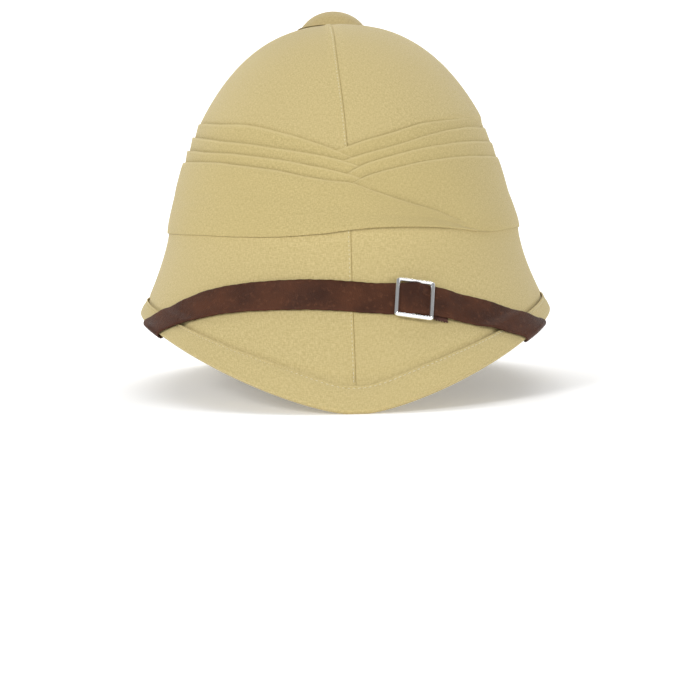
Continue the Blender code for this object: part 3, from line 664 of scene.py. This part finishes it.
def hem_stitches(material):
    turns, length = rim_turns(RIM_STEPS)
    turns = np.append(turns, turns[0] + 2 * math.pi)
    rows = hem_row(turns) + HEM_STITCHES / rim_depth(turns)
    lifts = (0.62 + 0.14 * np.tanh(4 * np.sin(turns))) * MM
    fine = lifted(rows, turns, lifts)
    run = np.linalg.norm(np.diff(fine, axis=0), axis=1).sum()
    pitch = run / round(length / HEM_PITCH)
    centres, ways, ups = along_line(rows, turns, lifts, pitch)
    return capsules("hem_stitches", centres, ways, ups, HEM_STITCH, 0.3 * MM, material)


HEM_LIFT = 1.0 * MM
HEM_STAND = 0.75 * MM
EDGE_LIFT = 0.9 * MM
PLEAT_UNDER = 3.0 * MM
SIDE_FRONT = math.radians(50)
SIDE_BACK = math.radians(310)


def edge_lift(run):
    """Outer lift of the band's folded edges: it sits closer to the crown at the right."""
    return EDGE_LIFT - 1.9 * MM * ramp(np.cos(run - math.radians(88)), 0.35, 0.95)


def make_strip(name, below, material):
    """One pleat of the band, once round the crown, whose ends cross at the front."""
    row = next(r for r in STRIP_TABLE if r[0] == name)
    start, stop, inner_dip, outer_dip = (math.radians(v) for v in row[1:])
    front = np.linspace(start, SIDE_FRONT, 130)
    back = np.linspace(SIDE_FRONT, SIDE_BACK, 190)[1:-1]
    end = np.linspace(SIDE_BACK, stop, 130)
    run = np.concatenate((front, back, end))
    top = band_edge(name, run) + unevenness(np.full(run.shape, len(name) * 0.9), run * 2.3, 0.0022)
    if below:
        low = band_edge(below, run) - PLEAT_UNDER / CROWN_HEIGHT
    else:
        low = band_edge("hem", run)
    low = np.minimum(low, top - 0.003)
    dip = -0.62 * MM * (1 - ramp(run, inner_dip, inner_dip + math.radians(3.5)))
    dip = dip - 1.1 * MM * (1 - ramp(run, inner_dip - math.radians(5), inner_dip))
    if below:
        dip = dip - 0.8 * MM * ramp(run, outer_dip - math.radians(4.5), outer_dip)
        dip = dip - 1.2 * MM * ramp(run, outer_dip, outer_dip + math.radians(4))
    edge = edge_lift(run) + dip
    relief = 1 - 0.45 * ramp(np.cos(run - math.radians(60)), 0.4, 0.95)
    steps = 9 if below else 26
    outer, inner = [], []
    for i in range(steps + 1):
        share = i / steps
        if below:
            fall = 2.1 * MM * share ** 0.85
        else:
            fall = 0.6 * MM * ramp(share, 0.0, 0.5)
            slack = unevenness(np.full(run.shape, share * 2.2), run, 0.30 * MM)
            fall = fall + slack * math.sin(math.pi * share)
        lift = edge - fall * relief
        if not below:
            lap = ramp(run, math.radians(356), math.radians(362))
            lift = lift + 0.6 * MM * lap * (1 - 0.5 * ramp(run, math.radians(402), math.radians(407)))
            under = 1 - ramp(run, math.radians(25), math.radians(46))
            lift = lift - 0.9 * MM * under * ramp(share, 0.15, 0.6)
            lift = lift - 0.5 * MM * (1 - ramp(run, math.radians(-2), math.radians(6)))
            stand = HEM_LIFT - 1.1 * MM * under + HEM_STAND * bump(run, math.radians(373), math.radians(26))
            lift = lift + (stand - lift) * float(ramp(share, 0.45, 1.0))
        wall = (0.55 + 0.3 * relief) * MM * (1 - 0.45 * float(ramp(share, 0.05, 0.3)))
        if not below:
            wall = wall + 0.4 * MM * float(ramp(share, 0.85, 0.97))
        height = top + (low - top) * share
        rows = row_at_height(height, run)
        outer.append(lifted(rows, run, lift))
        inner.append(lifted(rows, run, lift - wall))
    rings = rounded(np.stack(outer, axis=1), np.stack(inner, axis=1))
    title = "band_wrap" if not below else "band_pleat_" + name
    return loft(title, rings, material, closed=False, slide=len(name))


def turned_faces(rings, steps):
    """Faces between rings of a turned solid, and its two ends."""
    faces = []
    for ring in range(rings - 1):
        for k in range(steps):
            a, b = ring * steps + k, ring * steps + (k + 1) % steps
            faces.append((a, a + steps, b + steps, b))
    faces.append(tuple(range(steps)))
    faces.append(tuple((rings - 1) * steps + k for k in reversed(range(steps))))
    return faces


def lathe(name, profile, steps, matrix, material):
    """Turned solid from a profile of radius and height, from its top centre round to its bottom centre."""
    points = []
    for radius, height in profile:
        for k in range(steps):
            a = 2 * math.pi * k / steps
            points.append(matrix @ Vector((radius * math.cos(a), radius * math.sin(a), height)))
    verts = np.array([tuple(p) for p in points])
    faces = turned_faces(len(profile), steps)
    local = verts - np.array(matrix.translation)
    return mesh_object(name, verts, faces, [local[i][:2] for face in faces for i in face], material)


def make_button(material):
    """Cloth covered cap on the crown, whose edge follows the crown."""
    pole = skin(0.0, 0.0)
    steps = 96
    shares = [math.sin(math.radians(a)) for a in np.linspace(1.5, 90, 30)]
    verts = []
    angles = 2 * math.pi * np.arange(steps) / steps
    def crown_height(x, y):
        across, along = x / CROWN_HALF_WIDTH, y / CROWN_BACK
        share = np.hypot(across, along)
        return -CROWN_HEIGHT * (1 - (1 - share ** DOME_ROUND) ** (1 / DOME_POINT))
    def ring(radius, height, hug):
        x, y = radius * np.cos(angles), radius * np.sin(angles)
        gather = 0.06 * MM * np.cos(angles * 16) * (radius / BUTTON_RADIUS) ** 6
        z = pole[2] + height + hug * crown_height(x, y) + gather
        return np.stack((pole[0] + x, pole[1] + y, z), axis=1)
    for share in shares:
        radius = BUTTON_RADIUS * share
        cap = BUTTON_HEIGHT - BUTTON_ROUND + math.sqrt(BUTTON_ROUND ** 2 - radius ** 2)
        near = share ** 10
        verts.append(ring(radius, (cap + 0.25 * MM) * (1 - near) + 0.1 * MM, near))
    verts.append(ring(BUTTON_RADIUS * 0.992, -0.15 * MM, 1.0))
    verts.append(ring(BUTTON_RADIUS * 0.96, -0.30 * MM, 1.0))
    verts.append(ring(BUTTON_RADIUS * 0.5, 0.2 * MM, 1.0))
    verts = np.concatenate(verts)
    faces = turned_faces(len(verts) // steps, steps)
    return mesh_object("button_cap", verts, faces, [verts[i][:2] for face in faces for i in face], material)


def make_shell(material):
    """Stiff moulded body, whose smooth inside shows from below."""
    turns = np.linspace(-math.pi, math.pi, 257)[:-1]
    rows = np.concatenate((np.linspace(0.045, 0.6, 22)[:-1], np.linspace(0.6, 1.05, 34)[:-1],
                           np.linspace(1.05, 1.9, 26)))
    r, t = rows[None], turns[:, None]
    seat = seat_depth(r, t)
    smooth = unevenness(r, t, 0.15 * MM)
    outer = lifted(r, t, -SHELL_OUT - seat)
    inner = lifted(r, t, -SHELL_IN - seat + smooth)
    return loft("shell_body", rounded(outer, inner), material, closed=True)


def wrap_point(turn, reach, lift):
    """Points at a lift above the helmet, down its outside, round its rim and up its inside."""
    turn, reach, lift = np.broadcast_arrays(*(np.asarray(v, float) for v in (turn, reach, lift)))
    centre, nose_row = rim_nose(turn)
    half = NOSE + FOLD_CLEARANCE
    bend = math.pi * half / 2 / rim_depth(turn)
    out, down = skin_axes(2.0, turn)
    angle = np.clip((reach - 2 + bend) / (2 * bend), 0, 1) * math.pi
    size = squared(angle, FOLD_SHAPE) * (half + lift)
    nose = centre + times(times(out, np.cos(angle)) + times(down, np.sin(angle)), size)
    share = np.maximum(np.abs(reach - 2) - bend, 0) / (1 - bend)
    row = nose_row - share * (nose_row - 1)
    stand = FOLD_CLEARANCE * ramp(row, *RIM_STEP_ROWS) + lift
    away = np.where(reach > 2, -inner_depth(row) - stand, HEM_OUT * ramp(row, *HEM_STEP_ROWS) + stand)
    return np.where((np.abs(reach - 2) < bend)[..., None], nose, lifted(row, turn, away))


def strap_reach(turn):
    return table_value(STRAP_TABLE, STRAP_COLUMNS, "reach", np.degrees(turn))


def wrap_slopes(turn, reach):
    step = 0.004
    around = wrap_point(turn + step, reach, 0) - wrap_point(turn - step, reach, 0)
    down = wrap_point(turn, reach + step, 0) - wrap_point(turn, reach - step, 0)
    return around / (2 * step), down / (2 * step)


def strap_axes(turn):
    """Unit vectors of the strap: along it, across it and up from the helmet."""
    step = 0.004
    ahead = wrap_point(turn + step, strap_reach(turn + step), 0)
    along = unit(ahead - wrap_point(turn - step, strap_reach(turn - step), 0))
    around, down = wrap_slopes(turn, strap_reach(turn))
    up = unit(np.cross(down, around))
    return along, unit(np.cross(up, along)), up


def across_strap(turn, width):
    """Turn and reach beside the strap's middle line, reached straight across it in small steps."""
    turn, width = np.broadcast_arrays(np.asarray(turn, float), np.asarray(width, float))
    reach = strap_reach(turn)
    way = strap_axes(turn)[1]
    step = width / CROSS_STEPS
    for _ in range(CROSS_STEPS):
        around, down = wrap_slopes(turn, reach)
        normal = unit(np.cross(around, down))
        way = unit(way - times(normal, np.sum(way * normal, -1)))
        aa, ad, dd = np.sum(around * around, -1), np.sum(around * down, -1), np.sum(down * down, -1)
        wa, wd = np.sum(around * way, -1), np.sum(down * way, -1)
        det = aa * dd - ad * ad
        turn = turn + step * (dd * wa - ad * wd) / det
        reach = reach + step * (aa * wd - ad * wa) / det
    return turn, reach


def beside_strap(turn, width, lift):
    """Points beside the strap's middle line."""
    return wrap_point(*across_strap(turn, width), lift)


STRAP_FINE = np.radians(np.linspace(STRAP_TABLE[0][0], STRAP_TABLE[-1][0], 4001))
STRAP_POINTS = wrap_point(STRAP_FINE, strap_reach(STRAP_FINE), 0)
STRAP_RUN = np.append(0, np.cumsum(np.linalg.norm(np.diff(STRAP_POINTS, axis=0), axis=1)))
BUCKLE_RUN = float(np.interp(BUCKLE_TURN, STRAP_FINE, STRAP_RUN))


def strap_turn(run):
    """Turn at a distance along the strap from the buckle, positive to the right."""
    return np.interp(np.asarray(run, float) + BUCKLE_RUN, STRAP_RUN, STRAP_FINE)


def strap_lift(run):
    """Lift of the strap's under face: over the slide's centre bar and the doubled end."""
    doubled = TAIL_WALL + TAIL_GAP
    rise = ramp(run, -BUCKLE_WIDTH / 2 - 1.2 * MM, -0.6 * MM)
    fall = ramp(run, TAIL_LENGTH - 1 * MM, TAIL_LENGTH + 12 * MM)
    hump = 0.95 * MM * bump(run, 1.6 * MM, 2.4 * MM)
    return STRAP_CLEARANCE - 0.2 * MM + doubled * rise * (1 - fall) + hump


def make_strap(material):
    """Leather strap over the front of the brim, round its sides and up inside to the rivets."""
    start, stop = -BUCKLE_RUN, STRAP_RUN[-1] - BUCKLE_RUN
    runs = np.linspace(start, stop, 600)
    turns = strap_turn(runs)
    half = STRAP_WIDTH / 2
    shares = np.array((-1, -0.98, -0.95, -0.9, *np.linspace(-0.82, 0.82, 19), 0.9, 0.95, 0.98, 1.0))
    widen = 0.99 + 0.07 * bump(runs, 0, 14 * MM) + 0.10 * ramp(runs, 8 * MM, 60 * MM)
    rough = 0.07 * MM * np.sin(runs * 410 + 0.7) + 0.07 * MM * np.sin(runs * 1130 + 2.0)
    rough_other = 0.07 * MM * np.sin(runs * 370 + 2.9) + 0.07 * MM * np.sin(runs * 990 + 1.1)
    outside = np.abs(runs) < OUTSIDE_RUN
    wave = 0.16 * MM * np.sin(runs * 62 + 0.9) * outside + 0.10 * MM * np.sin(runs * 121 + 2.2) * outside
    under, over = [], []
    for share in shares:
        width = half * share * widen + (rough if share > 0 else rough_other) * abs(share)
        edge = STRAP_WALL / 2 * (1 - math.sqrt(max(1 - max(abs(share) - 0.9, 0) ** 2 / 0.01, 0)))
        base = strap_lift(runs) + wave * 0.6 + 0.12 * MM * np.sin(runs * 95 + share * 1.6)
        base = np.maximum(base, STRAP_CLEARANCE * 0.35)
        place = across_strap(turns, width)
        over.append(wrap_point(*place, base + STRAP_WALL - edge - 0.10 * MM * share ** 2))
        under.append(wrap_point(*place, base + edge))
    rings = rounded(np.stack(over, axis=1), np.stack(under, axis=1), steps=1)
    return loft("strap_leather", rings, material, closed=False)


def make_tail(material):
    """Cut end of the strap, doubled back under it, with a ragged edge."""
    runs = np.linspace(2.2 * MM, TAIL_LENGTH, 60)
    turns = strap_turn(runs)
    half = STRAP_WIDTH / 2
    shares = np.linspace(-1, 1, 33)
    slip = TAIL_SLIP * ramp(runs, 2 * MM, TAIL_LENGTH)
    over, under = [], []
    for index, share in enumerate(shares):
        ragged = 0.9 * MM * math.sin(index * 2.7 + 0.4) + 0.6 * MM * math.sin(index * 5.9 + 2.0)
        further = strap_turn(TAIL_LENGTH + ragged) - strap_turn(TAIL_LENGTH)
        end = turns + further * ramp(runs, TAIL_LENGTH * 0.7, TAIL_LENGTH)
        nick = 0.35 * MM * (np.sin(runs * 2900) * 0.5 + np.sin(runs * 5200 + 1)) * ramp(-share, 0.9, 1.0)
        width = half * share - slip + nick
        place = across_strap(end, width)
        over.append(wrap_point(*place, STRAP_CLEARANCE * 0.6 + TAIL_WALL - 0.25 * MM * abs(share) ** 8))
        under.append(wrap_point(*place, STRAP_CLEARANCE * 0.6 + 0.25 * MM * abs(share) ** 8))
    rings = rounded(np.stack(over, axis=1), np.stack(under, axis=1), steps=1)
    return loft("strap_end_doubled", rings, material, closed=False)


def buckle_place():
    """Matrix of the slide: X along the strap, Y up the brim, Z out, on the strap's raised top."""
    _, _, up = (Vector(v) for v in strap_axes(np.array(BUCKLE_TURN)))
    half = BUCKLE_WIDTH / 2 - BUCKLE_BAR / 2
    tops = []
    for side in (-half, half):
        lift = float(strap_lift(side)) + STRAP_WALL + 0.35 * MM
        tops.append(Vector(beside_strap(strap_turn(side), 0.0, lift)))
    along = (tops[1] - tops[0]).normalized()
    across = up.cross(along).normalized()
    up = along.cross(across).normalized()
    matrix = Matrix((along, across, up)).transposed().to_4x4()
    return Matrix.Translation((tops[0] + tops[1]) / 2) @ matrix @ Matrix.Rotation(BUCKLE_LEAN, 4, "Z")


def make_buckle(material):
    """Square slide of roof-shaped bar with small corners, and its centre bar behind the strap."""
    place = buckle_place()
    corner = 0.9 * MM
    a, b = BUCKLE_WIDTH / 2 - BUCKLE_BAR / 2, BUCKLE_HEIGHT / 2 - BUCKLE_BAR / 2
    path = []
    for index, (sx, sy) in enumerate(((1, 1), (-1, 1), (-1, -1), (1, -1))):
        for step in range(7):
            angle = math.pi / 2 * (index + step / 6)
            n = Vector((math.cos(angle), math.sin(angle), 0))
            path.append((Vector((sx * (a - corner), sy * (b - corner), 0)) + n * corner, n))
        nx, ny = ((0, 1), (-1, 0), (0, -1), (1, 0))[index]
        following = ((-1, 1), (-1, -1), (1, -1), (1, 1))[index]
        first = path[-1][0]
        second = Vector((following[0] * (a - corner), following[1] * (b - corner), 0))
        second = second + Vector((nx, ny, 0)) * corner
        for step in (0.04, 0.2, 0.4, 0.6, 0.8, 0.96):
            path.append((first.lerp(second, step), Vector((nx, ny, 0))))
    half = BUCKLE_BAR / 2
    section = ((-1.0, 0.12), (-1.0, 0.75), (-0.93, 0.95), (-0.42, 1.72), (-0.28, 1.84), (-0.10, 1.84),
               (0.04, 1.74), (0.90, 0.92), (1.0, 0.72), (1.0, 0.1), (0.88, 0.0), (-0.88, 0.0))
    rings = []
    for point, normal in path:
        spots = [point + normal * (n * half) + Vector((0, 0, z * MM)) for n, z in section]
        rings.append([tuple(place @ spot) for spot in spots])
    frame_item = loft("slide_frame", np.array(rings), material, closed=True)
    surface = Vector(wrap_point(BUCKLE_TURN, strap_reach(BUCKLE_TURN), 0))
    floor = (place.inverted() @ surface).z + STRAP_CLEARANCE * 0.7 + CENTRE_BAR / 2
    spots = ((-b, 0.9 * MM), (-b, floor * 0.5), (-b + 0.2 * MM, floor), (0, floor),
             (b - 0.2 * MM, floor), (b, floor * 0.5), (b, 0.9 * MM))
    line = [Vector((0, y, z)) for y, z in spots]
    rings = []
    for index, point in enumerate(line):
        ahead = line[min(index + 1, len(line) - 1)] - line[max(index - 1, 0)]
        way = ahead.normalized()
        side = Vector((1, 0, 0))
        up = way.cross(side)
        ring = []
        for k in range(12):
            angle = 2 * math.pi * k / 12
            beside, above = math.cos(angle) * 0.85 * MM, math.sin(angle) * 0.6 * MM
            ring.append(tuple(place @ (point + side * beside + up * above)))
        rings.append(ring)
    bar_item = loft("slide_bar", np.array(rings), material, closed=False)
    return frame_item, bar_item


def make_rivet(name, end, material):
    """Domed rivet head on the strap's inner end, and its shank into the shell."""
    sign = 1 if end > 0 else -1
    run = (STRAP_RUN[-1] if sign > 0 else 0) - BUCKLE_RUN - sign * 8 * MM
    turn = strap_turn(run)
    _, _, up = strap_axes(np.array(turn))
    point = Vector(wrap_point(turn, strap_reach(turn), 0))
    matrix = Matrix.Translation(point) @ Vector(up).to_track_quat("Z", "Y").to_matrix().to_4x4()
    over = STRAP_CLEARANCE + STRAP_WALL + 0.1 * MM
    head = ((0.3, 1.35), (1.8, 1.28), (3.2, 1.05), (4.3, 0.7), (4.9, 0.35), (5.0, 0.1), (4.85, 0.0),
            (1.6, 0.0))
    profile = [(radius * MM, over + height * MM) for radius, height in head]
    profile += [(1.6 * MM, -2.6 * MM), (1.3 * MM, -2.7 * MM)]
    return lathe(name, profile, 40, matrix, material)


def make_stud(material):
    """Flanged stud that holds the button through the top of the shell."""
    matrix = Matrix.Translation(Vector(skin(0.0, 0.0)))
    sizes = ((0.3, 4.6), (3.2, 4.6), (3.5, 4.3), (3.5, -5.4), (8.6, -5.4), (8.95, -5.7), (8.95, -6.4),
             (8.5, -6.82), (7.4, -6.9), (1.2, -6.9))
    profile = [(radius * MM, height * MM) for radius, height in sizes]
    return lathe("stud_plain", profile, 48, matrix, material)


# Scene

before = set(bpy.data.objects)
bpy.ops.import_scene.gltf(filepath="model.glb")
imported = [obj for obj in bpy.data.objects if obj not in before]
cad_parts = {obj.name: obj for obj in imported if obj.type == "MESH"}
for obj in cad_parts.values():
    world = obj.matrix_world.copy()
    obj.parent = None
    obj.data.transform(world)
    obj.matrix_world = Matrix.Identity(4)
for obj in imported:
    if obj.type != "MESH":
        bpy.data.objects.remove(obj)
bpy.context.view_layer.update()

khaki = cloth_material("cover_cloth", (0.562, 0.452, 0.206), (0.48, 0.38, 0.16), (0.645, 0.53, 0.262))
# Band cloth, with a painted highlight along the upper fold of each pleat.
band_khaki = cloth_material("puggaree_cloth", (0.54, 0.432, 0.186), (0.46, 0.363, 0.148),
                            (0.62, 0.508, 0.242), fold_highlight=(0.62, 0.51, 0.25))
# Painted shade: the button's cloth is a darker copy of the cover's khaki, standing in for the shade on the
# button.
shaded_button_khaki = cloth_material("button_cloth_painted_shade", (0.475, 0.37, 0.162), (0.405, 0.31, 0.128),
                              (0.545, 0.435, 0.205))
lining = cloth_material("lining_cloth", (0.46, 0.385, 0.22), (0.40, 0.33, 0.18), (0.52, 0.44, 0.26), 0.0009)
leather = leather_material("strap_brown", (0.090, 0.031, 0.014), (0.046, 0.016, 0.008), (0.179, 0.072, 0.035))
leather_edge = leather_material("strap_cut", (0.10, 0.042, 0.032), (0.045, 0.018, 0.014), (0.17, 0.085, 0.06))
chrome = metal_material("slide_chrome", (0.93, 0.94, 0.95), 0.17, 0.06, 0.0)
brass = metal_material("stud_brass", (0.55, 0.40, 0.18), 0.30, 0.15, 0.00008)
thread = thread_material("sewing_thread", (0.74, 0.66, 0.42))

half_turn = math.pi
quarter = math.pi / 2
panels = (
    ("cover_front_right", "panel_front_right", 0.0, quarter, False, True),
    ("cover_back_right", "panel_back_right", quarter, half_turn, False, False),
    ("cover_back_left", "panel_back_left", half_turn, 3 * quarter, True, False),
    ("cover_front_left", "panel_front_left", 3 * quarter, 4 * quarter, True, True),
)
for node, title, start, stop, start_over, stop_over in panels:
    item = make_panel(title, start, stop, start_over, stop_over, khaki)
    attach(item, "root")
    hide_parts(node)

hem = make_hem(khaki)
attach(hem, "root")
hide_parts("brim_binding")

stitching = [
    hem_stitches(thread),
    seam_stitches("seam_stitches_front", 2 * half_turn, -1, thread),
]
for item in stitching:
    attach(item, "root")

for name, below, node in (("top", "middle", "puggaree_pleat_top"), ("middle", "low", "puggaree_pleat_middle"),
                          ("low", "wrap", "puggaree_pleat_low"), ("wrap", None, "puggaree_wrap")):
    item = make_strip(name, below, band_khaki)
    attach(item, "root")
    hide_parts(node)

singles = (
    (make_button(shaded_button_khaki), "top_button", "khaki_cloth"),
    (make_shell(lining), "shell", "pith"),
    (make_strap(leather), "chin_strap", "brown_leather"),
    (make_tail(leather_edge), "strap_tail", "brown_leather"),
    (make_stud(brass), "button_stud", "brass"),
    (make_rivet("rivet_plain_left", -1, brass), "strap_rivet_left", "brass"),
    (make_rivet("rivet_plain_right", 1, brass), "strap_rivet_right", "brass"),
)
for item, node, slot in singles:
    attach(item, "root")
    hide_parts(node)
slide, slide_bar = make_buckle(chrome)
for item in (slide, slide_bar):
    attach(item, "root")
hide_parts("buckle")

# Floor and backdrop
paper = plain_material("pale_floor", (0.93, 0.93, 0.93), 0.9)
SWEEP = 0.9
SWEEP_START = 1.3
profile = [(-3.0, 0.0), (SWEEP_START, 0.0)]
for angle in np.linspace(0.05, math.pi / 2, 24):
    profile.append((SWEEP_START + SWEEP * math.sin(angle), SWEEP - SWEEP * math.cos(angle)))
profile += [(2.2, 5.0)]
verts = np.array([(x, y, z) for y, z in profile for x in (-4.0, 4.0)])
faces = [(2 * i, 2 * i + 1, 2 * i + 3, 2 * i + 2) for i in range(len(profile) - 1)]
floor = mesh_object("floor", verts, faces, np.zeros((4 * len(faces), 2)), paper)

world = bpy.data.worlds.new("studio")
bpy.context.scene.world = world
world.use_nodes = True
world.node_tree.nodes["Background"].inputs["Color"].default_value = (1, 1, 1, 1)
world.node_tree.nodes["Background"].inputs["Strength"].default_value = 0.31


def add_light(name, place, target, size, energy):
    light = bpy.data.lights.new(name, "AREA")
    light.shape = "RECTANGLE"
    light.size, light.size_y = size
    light.energy = energy
    item = bpy.data.objects.new(name, light)
    item.location = place
    item.rotation_euler = (Vector(target) - Vector(place)).to_track_quat("-Z", "Y").to_euler()
    bpy.context.scene.collection.objects.link(item)


add_light("key", (-1.1, -1.45, 0.95), (0, -0.02, 0.11), (0.5, 0.5), 17)
add_light("fill", (1.7, -0.9, 0.4), (0, 0, 0.11), (0.8, 0.8), 9)
add_light("front", (0.0, -2.4, 0.55), (0, 0, 0.12), (1.6, 1.1), 7.5)
add_light("back_wash", (0.0, 0.6, 1.9), (0.0, 1.9, 0.3), (2.0, 0.8), 30)

# Camera at the photograph's place
FOCAL_PIXELS = 1453.27
PICTURE_PIXELS = 700
SENSOR = 36
CAMERA_PLACE = (-0.0288, -0.8995 + MIDDLE, 0.095)
camera_data = bpy.data.cameras.new("camera")
camera_data.sensor_width = SENSOR
camera_data.sensor_fit = "AUTO"
camera_data.lens = FOCAL_PIXELS / PICTURE_PIXELS * SENSOR
camera_data.clip_start = 0.02
camera = bpy.data.objects.new("camera", camera_data)
turned = Matrix.Rotation(-0.0352, 3, "Z") @ Matrix.Rotation(-0.0849, 3, "X") @ Matrix.Rotation(0.016, 3, "Y")
right, forward, up = (turned.col[i] for i in range(3))
facing = Matrix((right, up, -forward)).transposed().to_4x4()
camera.matrix_world = Matrix.Translation(CAMERA_PLACE) @ facing
bpy.context.scene.collection.objects.link(camera)
bpy.context.scene.camera = camera
bpy.context.scene.view_settings.view_transform = "Standard"
